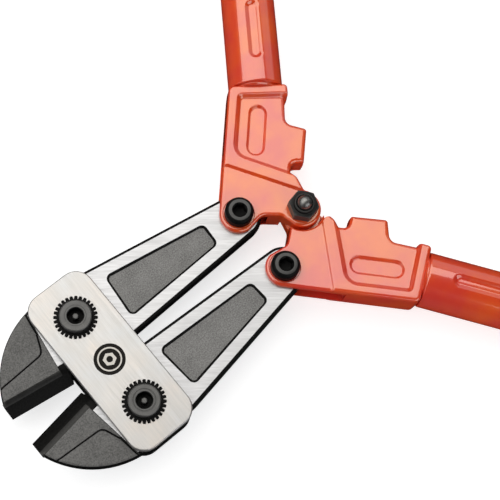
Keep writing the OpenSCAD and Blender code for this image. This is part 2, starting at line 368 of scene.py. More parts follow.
def moved(shape, matrix):
    """A shape carried by a matrix."""
    turn = np.array(matrix)
    return shape[0] @ turn[:3, :3].T + turn[:3, 3], shape[1]


def smooth(obj, sharp_angle=32):
    """Smooth shading that keeps flat faces flat and real edges crisp."""
    obj.data.polygons.foreach_set("use_smooth", [True] * len(obj.data.polygons))
    obj.data.set_sharp_from_angle(angle=math.radians(sharp_angle))
    weighted = obj.modifiers.new("face_weighted_normals", "WEIGHTED_NORMAL")
    weighted.keep_sharp = True
    weighted.weight = 100


def paint(obj, materials, region=None):
    """Gives obj its materials. region(middles, normals), in metres, picks one for each face."""
    for material in materials:
        obj.data.materials.append(material)
    if region is None:
        return
    count = len(obj.data.polygons)
    middles, normals = np.zeros(count * 3), np.zeros(count * 3)
    obj.data.polygons.foreach_get("center", middles)
    obj.data.polygons.foreach_get("normal", normals)
    chosen = region(middles.reshape(-1, 3), normals.reshape(-1, 3))
    obj.data.polygons.foreach_set("material_index", chosen.astype(int))


def add_piece(name, shape, matrix, body, materials, region=None, sharp_angle=32):
    """Builds one visible piece, paints it, hides its CAD node and parents the piece to its body's empty."""
    obj = make_object(name, shape, matrix)
    if region is not None:
        to_local = np.array(matrix.inverted())

        def local_region(middles, normals):
            local = middles @ to_local[:3, :3].T + to_local[:3, 3]
            return region(local, normals @ to_local[:3, :3].T * MM)

        paint(obj, materials, local_region)
    else:
        paint(obj, materials)
    smooth(obj, sharp_angle)
    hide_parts(name)
    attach(obj, body)


# ---- where things are ------------------------------------------------------------------


def middle(node):
    low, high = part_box(node)
    return (low + high) / 2


def heading(start, end):
    return math.atan2(end.y - start.y, end.x - start.x)


def tube_placing():
    """From the tube's own frame, with z along its axis, to the fitting's."""
    along = Matrix(((0, 0, 1, 0), (0, 1, 0, 0), (-1, 0, 0, 0), (0, 0, 0, 1)))
    bend = Matrix.Rotation(math.radians(TUBE_BEND), 4, "Z")
    return bend @ Matrix.Translation((0, TUBE_OFFSET, 0)) @ along


def placings():
    """Matrices from each working frame, in millimetres, to the row frame."""
    centre = middle("centre_bolt")
    pivot = middle("left_jaw_bolt")
    toggle = middle("left_toggle_bolt")
    mid_z = middle("left_jaw").z
    work = Matrix.Translation((centre.x, 0, mid_z)) @ Matrix.Scale(MM, 4)
    over = Matrix.Rotation(math.pi, 4, "X")
    jaw_turn = heading(pivot, toggle) - math.atan2(TOGGLE_IN_JAW[1], TOGGLE_IN_JAW[0])
    fitting_turn = heading(centre, toggle) - math.atan2(TOGGLE_IN_FITTING[1], TOGGLE_IN_FITTING[0])
    to_pivot = Matrix.Translation(((pivot.x - centre.x) / MM, pivot.y / MM, 0))
    jaw = to_pivot @ Matrix.Rotation(jaw_turn, 4, "Z")
    handle = Matrix.Rotation(fitting_turn, 4, "Z")
    mirror = Matrix.Scale(-1, 4, (0, 1, 0))
    at_toggle = handle @ Matrix.Translation((*TOGGLE_IN_FITTING, 0))
    places = {"work": work, "head": work @ Matrix.Translation(((pivot.x - centre.x) / MM, 0, 0))}
    for side, turned, mirrored in (
        ("left", work, work),
        ("right", work @ over, work @ mirror),
    ):
        places[side + "_jaw"] = turned @ jaw
        places[side + "_fitting"] = turned @ handle
        places[side + "_tube"] = turned @ handle @ tube_placing()
        places[side + "_jaw_bolt"] = mirrored @ to_pivot
        places[side + "_toggle"] = mirrored @ at_toggle
    return places


# ---- threads, washers and nuts ---------------------------------------------------------


def thread(radius, low, high, pitch):
    """Ridges and roots of a screw thread, as rings."""
    depth = 0.55 * pitch
    count = int((high - low) / pitch)
    profile = []
    for i in range(count):
        z = low + i * pitch
        profile += [(radius, z), (radius - depth, z + pitch * 0.42), (radius - depth, z + pitch * 0.55)]
    return profile + [(radius, low + count * pitch)]


def ring_shape(bore, outer, low, high, soft):
    """A flat ring whose outer edges are broken by soft."""
    profile = [
        (bore, low), (outer - soft, low), (outer, low + soft),
        (outer, high - soft), (outer - soft, high), (bore, high),
    ]
    return lathe(profile, full_turn(FULL_STEPS), loop=True)


def washer_shape(bore, outer, top):
    return ring_shape(bore, outer, top - WASHER, top, 0.25)


def hex_radius(across_flats, angles):
    """Radius of a hexagon at each angle."""
    sixth = math.pi / 3
    return across_flats / 2 / np.cos((angles + sixth / 2) % sixth - sixth / 2)


def nut_profile(across_flats, low, high, angles, chamfer_low=True):
    """Rings of a hexagon whose corners are cut by a cone at the top, or at both ends."""
    corner = hex_radius(across_flats, angles)
    face = across_flats / 2 - 0.25
    drop = (corner - face) * 0.5
    profile = [(face, low), (corner, low + drop)] if chamfer_low else [(corner, low)]
    return [*profile, (corner, high - drop), (face, high)]


def nut_shape(bore, across_flats, low, high):
    """A hexagon nut with a countersink at each end of its bore."""
    angles = full_turn(FULL_STEPS)
    sink = 0.4
    profile = [(bore + sink, low), *nut_profile(across_flats, low, high, angles)]
    profile += [(bore + sink, high), (bore, high - sink), (bore, low + sink)]
    return lathe(profile, angles, loop=True)


# ---- jaws ------------------------------------------------------------------------------


def jaw_outline():
    points = [(TIP_X, EDGE_Y), (THROAT_X, EDGE_Y)]
    points += arc((0, 0), HUB_R, -124, -58, 24)
    points.append((21.7, -19.5))
    points += arc(TOGGLE_IN_JAW, TAIL_R, -79.7, 88.8, 40)
    points.append((15, 18.6))
    points += arc((-4.4, -27.4), 44.7, 90, 167.4, 56)
    return np.array(points)


JAW_PANEL = rounded([(21.6, 11.5, 3), (22.8, -12.1, 3), (76.7, -2.1, 3), (75.8, 10.2, 3)])
NOSE_GROOVE = np.vstack([
    [(-52, -12.4)],
    fillet(np.array((-46, -11.1)), np.array((-21.4, -6.1)), np.array((-18.9, 3.0)), 3),
    [(-18.9, 3.0), (-18.8, 18)],
])
NOSE_DROP = 0.12
GROOVE_DEPTH = 0.4
GROOVE_WIDTH = 0.55
# The two ground facets of each bevel: distance from the cutting edge and height.
BEVEL = ((0, 0.25), (5.6, 4.05), (8.2, 5.02))
NO_BEVEL = 99
PANEL_WALL = 1.25
PANEL_DEPTH = 1.0
ARM_EDGE = 1.85  # width of the blackened band along the ground arms
NOSE_EDGE = 0.7
# What the faces of a jaw are, as indexes into its materials.
GROUND, SKIN, BLACK, UPPER_BEVEL, NOSE = range(5)


def bevel_height(points):
    """Height of the ground bevel over the jaw, far above it where there is none."""
    across = points[:, 1] - EDGE_Y
    height = np.interp(across, [b[0] for b in BEVEL], [b[1] for b in BEVEL])
    return np.where((points[:, 0] < THROAT_X) & (across < BEVEL[-1][0]), height, NO_BEVEL)


def jaw_height(outline):
    def height(points):
        nose = points[:, 0] < GROUND_X
        level = JAW_FACE - NOSE_DROP * ramp(GROUND_X - points[:, 0], 0.5)
        level -= PANEL_DEPTH * ramp(depth_inside(points, JAW_PANEL), PANEL_WALL)
        groove = line_distance(points, NOSE_GROOVE)
        level -= np.where(nose, GROOVE_DEPTH * (1 - ramp(groove, GROOVE_WIDTH)), 0)
        edge = line_distance(points, outline, closed=True)
        z = edge_height(edge, level, JAW_ROUND, JAW_DRAFT)
        bevel = bevel_height(points)
        return np.where(bevel < NO_BEVEL, np.minimum(level, bevel), z)

    return height


def jaw_shape():
    outline = jaw_outline()
    top = jaw_height(outline)
    start = JAW_DRAFT * (JAW_FACE - JAW_ROUND)
    lines = rings(outline, [start + JAW_ROUND * t for t in ROUND_STEPS])
    lines += rings(outline, (ARM_EDGE,))
    lines += rings(JAW_PANEL, [PANEL_WALL * t for t in (0, 0.2, 0.4, 0.6, 0.8, 1)])
    for side in (-GROOVE_WIDTH, -0.28, 0, 0.28, GROOVE_WIDTH):
        lines.append(sideways(NOSE_GROOVE, side))
    lines.append(np.array([(GROUND_X, THROAT_Y), (THROAT_LINE_END, THROAT_Y)]))
    for x in (GROUND_X, GROUND_X - 0.25, GROUND_X - 0.5, THROAT_X):
        lines.append(np.array([(x, EDGE_Y - 1), (x, 20)]))  # right across the jaw
    for across, _ in BEVEL[1:]:
        lines.append(np.array([(TIP_X - 4, EDGE_Y + across), (THROAT_X, EDGE_Y + across)]))
    holes = [circle((0, 0), BUSHING_R), circle(TOGGLE_IN_JAW, REAR_HOLE_R)]
    return forge(outline, top, lambda p: -top(p), holes, lines)


def sideways(line, d):
    """An open line moved to its left by d."""
    along = np.gradient(line, axis=0)
    along /= np.linalg.norm(along, axis=1)[:, None]
    return line + np.stack([-along[:, 1], along[:, 0]], 1) * d


def jaw_region(middles, normals):
    """Which material each face of a jaw has."""
    points = middles[:, :2]
    nose = points[:, 0] < GROUND_X - 0.3
    region = np.where(nose, NOSE, GROUND)
    panel = depth_inside(points, JAW_PANEL)
    region = np.where(panel > PANEL_WALL * 0.9, SKIN, region)
    region = np.where((panel > 0) & (panel <= PANEL_WALL * 0.9), BLACK, region)
    region = np.where(nose & (line_distance(points, NOSE_GROOVE) < 0.4), BLACK, region)
    region = np.where((points[:, 0] <= GROUND_X) & ~nose, BLACK, region)
    bevel = np.where(points[:, 1] < EDGE_Y + BEVEL[1][0], BLACK, UPPER_BEVEL)
    region = np.where(bevel_height(points) < NO_BEVEL, bevel, region)
    edge = line_distance(points, jaw_outline(), closed=True)
    band = edge < np.where(nose, NOSE_EDGE, ARM_EDGE)
    throat = (points[:, 1] < THROAT_Y) & (points[:, 0] > GROUND_X) & (points[:, 0] < THROAT_LINE_END)
    wall = np.abs(normals[:, 2]) < 0.3
    region = np.where((band | wall) & (region != UPPER_BEVEL), BLACK, region)
    return np.where(throat, BLACK, region)


def bushing_shape():
    return ring_shape(JAW_SHANK_R + RUN, BUSHING_R, -JAW_FACE, JAW_FACE, 0.3)


# ---- head: side plates and jaw bolts ---------------------------------------------------


def toothed_radius(angles, grow=0.0):
    """Radius of the toothed collar at each angle; grow widens it for the hole that holds it."""
    half_width, flank = 0.68, 0.36
    pitch = 2 * math.pi / TEETH
    off = (angles + pitch / 2) % pitch - pitch / 2
    across = np.abs(off) * COLLAR_TIP
    tooth = np.clip((half_width + grow - across) / flank, 0, 1)
    return COLLAR_ROOT + grow + (COLLAR_TIP - COLLAR_ROOT) * np.sqrt(1 - (1 - tooth) ** 2)


def plate_shape(low, high, toothed):
    """A side plate with rounded edges and two holes, toothed or plain."""
    x, y = PLATE_HALF_W, PLATE_HALF_L
    outline = rounded([(*at, PLATE_CORNER) for at in ((-x, -y), (x, -y), (x, y), (-x, y))])
    angles = full_turn(TEETH * STEPS_PER_TOOTH)
    plain = np.full(len(angles), JAW_SHANK_R + RUN)
    radius = toothed_radius(angles, COLLAR_GAP) if toothed else plain
    hole = np.stack([radius * np.cos(angles), radius * np.sin(angles)], 1)
    holes = [hole + (0, JAW_BOLT_Y), hole - (0, JAW_BOLT_Y)]
    round_edge, hole_edge = 0.7, 0.12
    middle_z, half = (low + high) / 2, (high - low) / 2

    def thickness(points):
        edge = line_distance(points, outline, closed=True)
        z = edge_height(edge, half, round_edge, 0)
        for hole_line in holes:
            rim = line_distance(points, hole_line, closed=True)
            z = np.minimum(z, half - hole_edge * (1 - ramp(rim, hole_edge)))
        return z

    lines = rings(outline, [round_edge * t for t in ROUND_STEPS[1:]])
    for hole_line in holes:
        lines += rings(hole_line[::-1], (hole_edge,))
    return forge(
        outline, lambda p: middle_z + thickness(p), lambda p: middle_z - thickness(p), holes, lines
    )


def jaw_bolt_shape(deep_groove):
    """Toothed collar, round head with a grooved face and a pinned socket, shank and threaded end."""
    angles = full_turn(TEETH * STEPS_PER_TOOTH)
    teeth = toothed_radius(angles)
    chamfered = np.minimum(teeth, COLLAR_TIP - 0.35)
    head, socket, pin = JAW_HEAD_R, JAW_SOCKET_R, JAW_PIN_R
    low, top = JAW_NUT_LOW, JAW_HEAD_TOP
    collar_top = PLATE_TOP - 0.3
    deep = [(5.35, top), (5.2, top - 0.25), (4.9, top - 0.25), (4.75, top)]
    groove = deep if deep_groove else [(5.0, top), (4.9, top - 0.1), (4.8, top)]
    profile = [(0, low), (JAW_THREAD_R - 0.6, low), (JAW_THREAD_R, low + 0.6)]
    profile += thread(JAW_THREAD_R, low + 0.9, -PLATE_TOP - 0.9, 1.75)
    profile += [
        (JAW_THREAD_R, -PLATE_TOP), (JAW_SHANK_R, -PLATE_TOP), (JAW_SHANK_R, PLATE_LOW),
        (COLLAR_ROOT - 0.3, PLATE_LOW + 0.3),
        (chamfered, PLATE_LOW + 0.3), (teeth, PLATE_LOW + 0.6),
        (teeth, collar_top - 0.35), (chamfered, collar_top), (head + 0.35, collar_top),
        (head, collar_top + 0.3), (head, top - 0.55), (head - 0.12, top - 0.25), (head - 0.5, top),
        *groove,
        (socket + 0.3, top), (socket, top - 0.3), (socket - 0.15, top - 6.2),
        (pin + 0.1, top - 6.3), (pin, top - 6.2), (pin, top - 1.3), (pin - 0.3, top - 1.05), (0, top - 1.0),
    ]
    return lathe(profile, angles)


def badge_shape():
    """The dark disc of a plain printed sign on the top plate."""
    outer, low, high = 7.35, PLATE_TOP - 0.2, PLATE_TOP + 0.03
    return lathe([(0, low), (outer, low), (outer, high), (0, high)], full_turn(FULL_STEPS))


def badge_sign_shape():
    """The sign's pale print: a ring round a hexagon bolt, just above the disc."""
    low, high = PLATE_TOP - 0.1, PLATE_TOP + 0.05
    angles = full_turn(FULL_STEPS)
    bands = [
        lathe([(inner, low), (outer, low), (outer, high), (inner, high)], angles, loop=True)
        for inner, outer in ((5.0, 5.7), (1.5, hex_radius(5.6, angles)))
    ]
    return joined(*bands)


# ---- handle fittings -------------------------------------------------------------------


def fitting_outline():
    """The forging's outline where its two halves meet, counter-clockwise from the centre ear."""
    corners = [
        (9.9, -0.3), (17.3, 4.2, 3), (18.9, 6.2), (23.4, 6.2, 3), (24.2, -0.1, 1.2),
        (42.6, -0.6, 1.8), (44.4, 10.2, 4), (57.6, 11.4), (58.0, 9.8, 1.2), (64.6, 10.8, 2.2),
        (60.2, 40, 3), (TOGGLE_IN_FITTING[0], 40),
    ]
    lobe = arc(TOGGLE_IN_FITTING, EAR_R, 93, 216, 28)
    ear = arc((0, 0), EAR_R, 160, 355, 44)
    return rounded([*corners, *lobe, (-5.6, 19, 5), (-4.9, 9.6, 4), *ear])


# Sunk areas of the fitting's faces, with the depth and the width of each one's sloping wall.
BOLT_PAD = rounded([(-40, -30), (8.5, -30), (9.4, -1), (18.9, 37), (17.4, 70), (-40, 70)])
PAD_WALL = 1.9
RECESS = rounded([(14.6, 2), (13.6, -20), (63.2, -20), (59.9, 11), (56.7, 35.8, 3.5), (23.4, 35.8, 8)])
RECESS_DEPTH = 2.5
RECESS_WALL = 2.9
POCKET_ENDS = (25.05, 52.45)
POCKET_SIDES = (19.55, 29.25)
POCKET_CORNER = 4.84
POCKET = rounded([
    (POCKET_ENDS[0], POCKET_SIDES[0], POCKET_CORNER), (POCKET_ENDS[1], POCKET_SIDES[0], POCKET_CORNER),
    (POCKET_ENDS[1], POCKET_SIDES[1], POCKET_CORNER), (POCKET_ENDS[0], POCKET_SIDES[1], POCKET_CORNER),
])
POCKET_DEPTH = 1.5
POCKET_WALL = 1.6
RECESS_SOFTER = 0.8  # how much larger the rounding of the outline is beside the recess


def fitting_height(outline):
    def height(points):
        level = FITTING_FACE - PAD_DROP * ramp(depth_inside(points, BOLT_PAD), PAD_WALL)
        sunk = ramp(depth_inside(points, RECESS), RECESS_WALL)
        level -= RECESS_DEPTH * sunk
        level -= POCKET_DEPTH * ramp(depth_inside(points, POCKET), POCKET_WALL)
        edge = line_distance(points, outline, closed=True)
        return edge_height(edge, level, FITTING_ROUND + RECESS_SOFTER * sunk, FITTING_DRAFT)

    return height


def clevis_slot():
    """The slot that takes the jaw's round end."""
    outline = rounded([(-40, 16.2), (8, 16.2, 4), (25, 38), (25, 60), (-40, 60)])
    return prism(outline, -SLOT_HALF, SLOT_HALF)


def lap_cutters():
    """Half-lap relief for the other fitting's ear, with a corner piece that lets it swing."""
    top, low = 0.15, -PAD_FACE
    relief = [
        (0, -FAR), (LAP_R + 1.1, -FAR), (LAP_R + 1.1, low + 0.5), (LAP_R + 0.1, low + 1.2),
        (LAP_R, -1), (LAP_R - 0.6, top), (0, top),
    ]
    corner = np.array([(11.2, 3.4), (9, -4), (18, 1.2)])
    return lathe(relief, full_turn(FULL_STEPS)), prism(corner, -FAR, top)


def through_bore(mouth_r, *steps):
    """A bore through both faces, from (radius, height above the pad) steps of its upper half."""
    upper = [*((r, PAD_FACE + above) for r, above in steps), (mouth_r, FAR)]
    lower = [(r, -z) for r, z in reversed(upper)]
    return lathe([(0, -FAR), *lower, *upper, (0, FAR)], full_turn(FULL_STEPS))


def fitting_shape():
    """The painted forging: two drafted halves, then the slot, the lap and the bores, and the tang."""
    outline = fitting_outline()
    top = fitting_height(outline)
    start = FITTING_DRAFT * (FITTING_FACE - FITTING_ROUND)
    lines = rings(outline, [start + FITTING_ROUND * t for t in (*ROUND_STEPS, 1.25, 1.6)])
    for sunk, wall in ((BOLT_PAD, PAD_WALL), (RECESS, RECESS_WALL), (POCKET, POCKET_WALL)):
        lines += rings(sunk, [wall * t for t in WALL_STEPS])
    body = forge(outline, top, lambda p: -top(p), (), lines)
    bore = through_bore(4.9, (CENTRE_SHANK_R + 0.06, -0.5), (4.9, 0))
    toggle = through_bore(8.1, (SHOULDER_R + SNUG, -SEAT_DEPTH), (7.45, -SEAT_DEPTH), (7.85, 0.1))
    toggle = (toggle[0] + (*TOGGLE_IN_FITTING, 0), toggle[1])
    tang_end = COLLAR_END + TANG_LENGTH
    tang = [
        (0, COLLAR_END), (TANG_R - 0.5, COLLAR_END), (TANG_R, COLLAR_END + 0.5), (TANG_R, tang_end),
        (0, tang_end),
    ]
    tang = moved(lathe(tang, full_turn(FULL_STEPS)), tube_placing())
    return joined(cut(body, clevis_slot(), *lap_cutters(), bore, toggle), tang)


def toggle_bolt_shape():
    """Round-headed socket bolt with a shoulder and a thinner thread, head upwards."""
    angles = full_turn(FULL_STEPS)
    socket = hex_radius(6, angles)
    low, seat, top = -PAD_FACE - NUT_HEIGHT, PAD_FACE - SEAT_DEPTH, TOGGLE_HEAD_TOP
    profile = [
        (0, low), (TOGGLE_THREAD_R - 0.6, low), (TOGGLE_THREAD_R, low + 0.6), (TOGGLE_THREAD_R, -PAD_FACE),
        (SHOULDER_R, -PAD_FACE), (SHOULDER_R, seat), (TOGGLE_HEAD_R - 0.15, seat),
        (TOGGLE_HEAD_R, seat + 0.15), (TOGGLE_HEAD_R, top - 2.2), (6.8, top - 1.5), (6.4, top - 0.8),
        (5.9, top - 0.35), (TOGGLE_RIM_R, top), (3.75, top), (3.5, top - 0.3),
        (socket, top - 0.6), (socket, top - 5.5), (0, top - 6),
    ]
    return lathe(profile, angles)


def centre_bolt_shape():
    """Hexagon head below, plain shank, and a domed threaded end above the nut."""
    angles = full_turn(FULL_STEPS)
    head_top = -CENTRE_SEAT - WASHER
    low = head_top - CENTRE_HEAD_HEIGHT
    corner, flat = hex_radius(NUT_AF, angles), NUT_AF / 2 - 0.25
    dome_r, dome_height = 3.5, 3.2
    profile = [
        (0, low), (flat, low), (corner, low + (corner - flat) * 0.5), (corner, head_top),
        (CENTRE_SHANK_R, head_top), (CENTRE_SHANK_R, CENTRE_END - 0.6), (dome_r, CENTRE_END),
    ]
    for turn in np.radians((12, 25, 38, 50, 62, 74, 84)):
        profile.append((dome_r * math.cos(turn), CENTRE_END + dome_height * math.sin(turn)))
    return lathe([*profile, (0, CENTRE_END + dome_height)], angles)


def centre_nut_shape():
    """Hexagon lock nut with its collar pressed over the locking ring."""
    angles = full_turn(FULL_STEPS)
    low, high = CENTRE_SEAT, CENTRE_SEAT + NUT_HEIGHT
    bore = CENTRE_SHANK_R + RUN
    profile = [
        (4.4, low), *nut_profile(NUT_AF, low, high, angles, chamfer_low=False),
        (5.1, high + 0.05), (4.95, high + 0.3), (4.9, high + 1.2), (4.6, high + 1.55),
        (4.25, high + 1.6), (bore, high + 1.3), (bore, low),
    ]
    return lathe(profile, angles, loop=True)


# ---- tubes and grips -------------------------------------------------------------------


def crimp_depth(across, u):
    """How far the tube wall is pressed in at distance across from the crimp's line."""
    first, last, half_width, depth = 81.3, 106.0, 3.7, 1.6
    off_end = np.maximum(np.maximum(first - u, u - last), 0)
    reach = np.sqrt(across**2 + off_end**2) / half_width
    return depth * ramp(1 - reach, 0.6)


def wrap(angles):
    """Angles brought into the range from -pi to pi."""
    return (angles + math.pi) % (2 * math.pi) - math.pi


def tube_shape():
    """The handle tube along its own axis, with a crimp on each face."""
    angles = full_turn(144)
    end = HANDLE_END - GRIP_CAP
    along = [TUBE_START + 0.5, TUBE_START + 1.0, 70, 73, *np.arange(76, 111.5, 0.5)]
    along += [115, 150, 200, 250, 300, end]
    across = np.minimum(np.abs(wrap(angles)), np.abs(wrap(angles - math.pi))) * TUBE_R
    inner = TUBE_R - TUBE_WALL
    profile = [
        (inner, TUBE_START + 0.2), (inner + 0.25, TUBE_START), (TUBE_R - 0.55, TUBE_START),
        (TUBE_R - 0.15, TUBE_START + 0.16),
    ]
    profile += [(TUBE_R - crimp_depth(across, u), u) for u in along]
    return lathe([*profile, (inner, end)], angles, loop=True)


def grip_rib(r, u):
    """One low rib that starts at u on a grip of radius r."""
    return [
        (r, u - 0.6), (r + 0.35, u), (r + 0.8, u + 0.8),
        (r + 0.8, u + 3.2), (r + 0.35, u + 4), (r, u + 4.6),
    ]


def grip_shape():
    """Rubber sleeve: front flange, ribbed hand zone and rounded closed end."""
    start, end = HANDLE_END - GRIP_LENGTH, HANDLE_END
    bore = TUBE_R + SNUG
    body = GRIP_R - 1.2
    profile = [
        (0, end - GRIP_CAP + 0.1), (bore, end - GRIP_CAP + 0.1),
        (bore, start + 0.3), (TUBE_R + 0.5, start), (body + 0.5, start), (GRIP_R - 0.25, start + 0.6),
        (GRIP_R, start + 1.6), (GRIP_R, start + 6.4), (GRIP_R - 0.35, start + 7.4), (body, start + 8.6),
        (body, start + 16),
    ]
    for i in range(GRIP_RIBS):
        profile += grip_rib(body, start + 20 + RIB_PITCH * i)
    profile += [
        (body, end - 14), (body + 0.5, end - 12.6), (GRIP_R - 0.15, end - 11.6), (GRIP_R, end - 10),
        (GRIP_R, end - 4), (GRIP_R - 0.4, end - 2.2), (GRIP_R - 1.6, end - 0.8), (GRIP_R - 3.4, end),
        (6, end), (5.2, end - 0.3), (4.6, end - 1.2), (0, end - 1.2),
    ]
    return lathe(profile, full_turn(120))


# ---- materials -------------------------------------------------------------------------


def grey(value):
    return (value, value, value)


class Paintbox:
    """Builds one material's node tree from short calls."""

    def __init__(self, name, **settings):
        self.material = bpy.data.materials.new(name)
        self.material.use_nodes = True
        self.nodes = self.material.node_tree.nodes
        self.links = self.material.node_tree.links
        self.shader = self.nodes["Principled BSDF"]
        for socket, value in settings.items():
            self.shader.inputs[socket.replace("_", " ")].default_value = value
        self.place = self.nodes.new("ShaderNodeTexCoord").outputs["Object"]

    def mapped(self, scale, turn=0.0):
        node = self.nodes.new("ShaderNodeMapping")
        node.vector_type = "TEXTURE"
        node.inputs["Rotation"].default_value = (0, 0, math.radians(turn))
        node.inputs["Scale"].default_value = [MM * s for s in scale]
        self.links.new(self.place, node.inputs["Vector"])
        return node.outputs["Vector"]

    def noise(self, size, detail, turn=0.0):
        """Noise whose grains are size millimetres across, given as one number or three."""
        size = size if isinstance(size, (tuple, list)) else (size, size, size)
        node = self.nodes.new("ShaderNodeTexNoise")
        node.inputs["Scale"].default_value = 1.0
        node.inputs["Detail"].default_value = detail
        self.links.new(self.mapped(size, turn), node.inputs["Vector"])
        return node.outputs["Fac"]

    def spread(self, value, low, high, out_low=0.0, out_high=1.0):
        """The range from low to high stretched over the range from out_low to out_high."""
        node = self.nodes.new("ShaderNodeMapRange")
        sockets = ("From Min", "From Max", "To Min", "To Max")
        for socket, number in zip(sockets, (low, high, out_low, out_high)):
            node.inputs[socket].default_value = number
        self.links.new(value, node.inputs["Value"])
        return node.outputs["Result"]

    def mix(self, factor, first, second):
        """A colour between two colours or sockets."""
        node = self.nodes.new("ShaderNodeMix")
        node.data_type = "RGBA"
        self.links.new(factor, node.inputs["Factor"])
        for socket, value in (("A", first), ("B", second)):
            target = [s for s in node.inputs if s.name == socket and s.type == "RGBA"][0]
            if isinstance(value, bpy.types.NodeSocket):
                self.links.new(value, target)
            else:
                target.default_value = (*value, 1)
        return [s for s in node.outputs if s.type == "RGBA"][0]

    def sum(self, *terms):
        """Weighted sum of (socket, weight) pairs."""
        total = None
        for value, weight in terms:
            node = self.nodes.new("ShaderNodeMath")
            node.operation = "MULTIPLY_ADD"
            self.links.new(value, node.inputs[0])
            node.inputs[1].default_value = weight
            if total is None:
                node.inputs[2].default_value = 0
            else:
                self.links.new(total, node.inputs[2])
            total = node.outputs[0]
        return total

    def bump(self, height, depth_mm):
        node = self.nodes.new("ShaderNodeBump")
        node.inputs["Strength"].default_value = 1.0
        node.inputs["Distance"].default_value = depth_mm * MM
        self.links.new(height, node.inputs["Height"])
        self.links.new(node.outputs["Normal"], self.shader.inputs["Normal"])

    def feed(self, socket, value):
        self.links.new(value, self.shader.inputs[socket])

    def edges(self, low, high):
        """0 on flat faces and 1 on outward edges, which are painted lighter as wear and as a painted
        highlight.
        """
        pointed = self.nodes.new("ShaderNodeNewGeometry").outputs["Pointiness"]
        return self.spread(pointed, low, high)


def plate_material():
    box = Paintbox("brushed_plate_steel", Metallic=0.85)
    streaks = box.noise((0.22, 9.0, 1.0), 3)
    long_streaks = box.noise((0.9, 40.0, 4.0), 2)
    stain = box.noise(16, 3)
    base = box.mix(box.spread(stain, 0.35, 0.7), (0.56, 0.575, 0.60), (0.62, 0.57, 0.53))
    grain = box.sum((streaks, 0.6), (long_streaks, 0.4))
    box.feed("Base Color", box.mix(box.spread(grain, 0.35, 0.65), base, (0.51, 0.505, 0.50)))
    box.feed("Roughness", box.spread(grain, 0.3, 0.7, 0.34, 0.46))
    box.bump(grain, 0.012)
    return box.material


def ground_material():
    box = Paintbox("ground_jaw_steel", Metallic=0.9)
    lines = box.noise((7.0, 0.22, 1.0), 3, turn=-38)
    coarse = box.noise((18.0, 0.9, 2.0), 2, turn=-38)
    grain = box.sum((lines, 0.6), (coarse, 0.4))
    fine = box.spread(grain, 0.35, 0.62)
    box.feed("Base Color", box.mix(fine, (0.585, 0.59, 0.615), (0.475, 0.48, 0.50)))
    box.feed("Roughness", box.spread(grain, 0.3, 0.7, 0.3, 0.44))
    box.bump(grain, 0.008)
    return box.material


def forged_material(name, shade):
    """Scaly black forging skin; shade is how light its pale grains are."""
    box = Paintbox(name, Metallic=0.25)
    speckle = box.noise(0.62, 3)
    blotch = box.noise(9, 2)
    grain = box.sum((speckle, 0.8), (blotch, 0.2))
    box.feed("Base Color", box.mix(box.spread(grain, 0.36, 0.64), grey(0.42 * shade), grey(shade)))
    box.feed("Roughness", box.spread(speckle, 0.3, 0.7, 0.5, 0.66))
    box.bump(speckle, 0.05)
    return box.material


# Black for the jaws' blackened edges, and also painted shade in the bolt sockets, round the bolt collars
# and heads, and on the bottom plate's inner face.
def black_edge_and_shade_material():
    box = Paintbox("blackened_edge_and_painted_shade", Specular_IOR_Level=0.08)
    grain = box.noise(0.8, 3)
    box.feed("Base Color", box.mix(box.spread(grain, 0.35, 0.65), grey(0.003), grey(0.008)))
    box.feed("Roughness", box.spread(grain, 0.3, 0.7, 0.36, 0.5))
    box.bump(grain, 0.012)
    return box.material


def worn_material():
    box = Paintbox("worn_bolt_end", Metallic=0.9)
    grain = box.noise(0.5, 3)
    box.feed("Base Color", box.mix(box.spread(grain, 0.35, 0.65), (0.16, 0.16, 0.16), (0.30, 0.30, 0.295)))
    box.feed("Roughness", box.spread(grain, 0.3, 0.7, 0.28, 0.4))
    box.bump(grain, 0.01)
    return box.material


def oxide_material(name, dark, light, gloss=1.0):
    box = Paintbox(name, Specular_IOR_Level=gloss)
    grain = box.noise(0.6, 3)
    cloud = box.noise(5, 2)
    # Outward edges are painted lighter: partly edge wear, partly a painted highlight along the rounded
    # edges.
    wear_and_highlight_edges = box.edges(0.52, 0.6)
    base = box.mix(box.spread(grain, 0.35, 0.65), grey(dark), grey(light))
    box.feed("Base Color", box.mix(wear_and_highlight_edges, base, grey(0.07)))
    box.feed("Roughness", box.spread(cloud, 0.3, 0.7, 0.3, 0.44))
    box.bump(grain, 0.01)
    return box.material


def bronze_material():
    box = Paintbox("sintered_bronze", Metallic=0.95)
    grain = box.noise(0.3, 3)
    box.feed("Base Color", box.mix(box.spread(grain, 0.35, 0.65), (0.45, 0.28, 0.12), (0.58, 0.38, 0.18)))
    box.feed("Roughness", box.spread(grain, 0.3, 0.7, 0.35, 0.55))
    box.bump(grain, 0.01)
    return box.material


def paint_material(name, peel_depth):
    box = Paintbox(
        name, Roughness=0.31, Specular_IOR_Level=1.0, Coat_Weight=1.0, Coat_Roughness=0.07, Coat_IOR=1.9
    )
    cloud = box.noise(22, 3)
    peel = box.noise(3.5, 2)
    tone = box.mix(box.spread(cloud, 0.3, 0.7), (0.74, 0.040, 0.026), (0.88, 0.088, 0.012))
    box.feed("Base Color", tone)
    box.feed("Specular Tint", box.mix(box.spread(cloud, 0.38, 0.62), (1, 0.76, 0.66), (1, 1.0, 0.46)))
    box.bump(peel, peel_depth)
    return box.material


def rubber_material():
    box = Paintbox("grip_rubber", Specular_IOR_Level=0.35)
    pores = box.noise(0.35, 3)
    dust = box.noise(18, 3)
    pale = box.spread(dust, 0.35, 0.7)
    box.feed("Base Color", box.mix(pale, (0.018, 0.018, 0.019), (0.032, 0.032, 0.033)))
    box.feed("Roughness", box.spread(pores, 0.3, 0.7, 0.55, 0.78))
    box.bump(pores, 0.05)
    return box.material


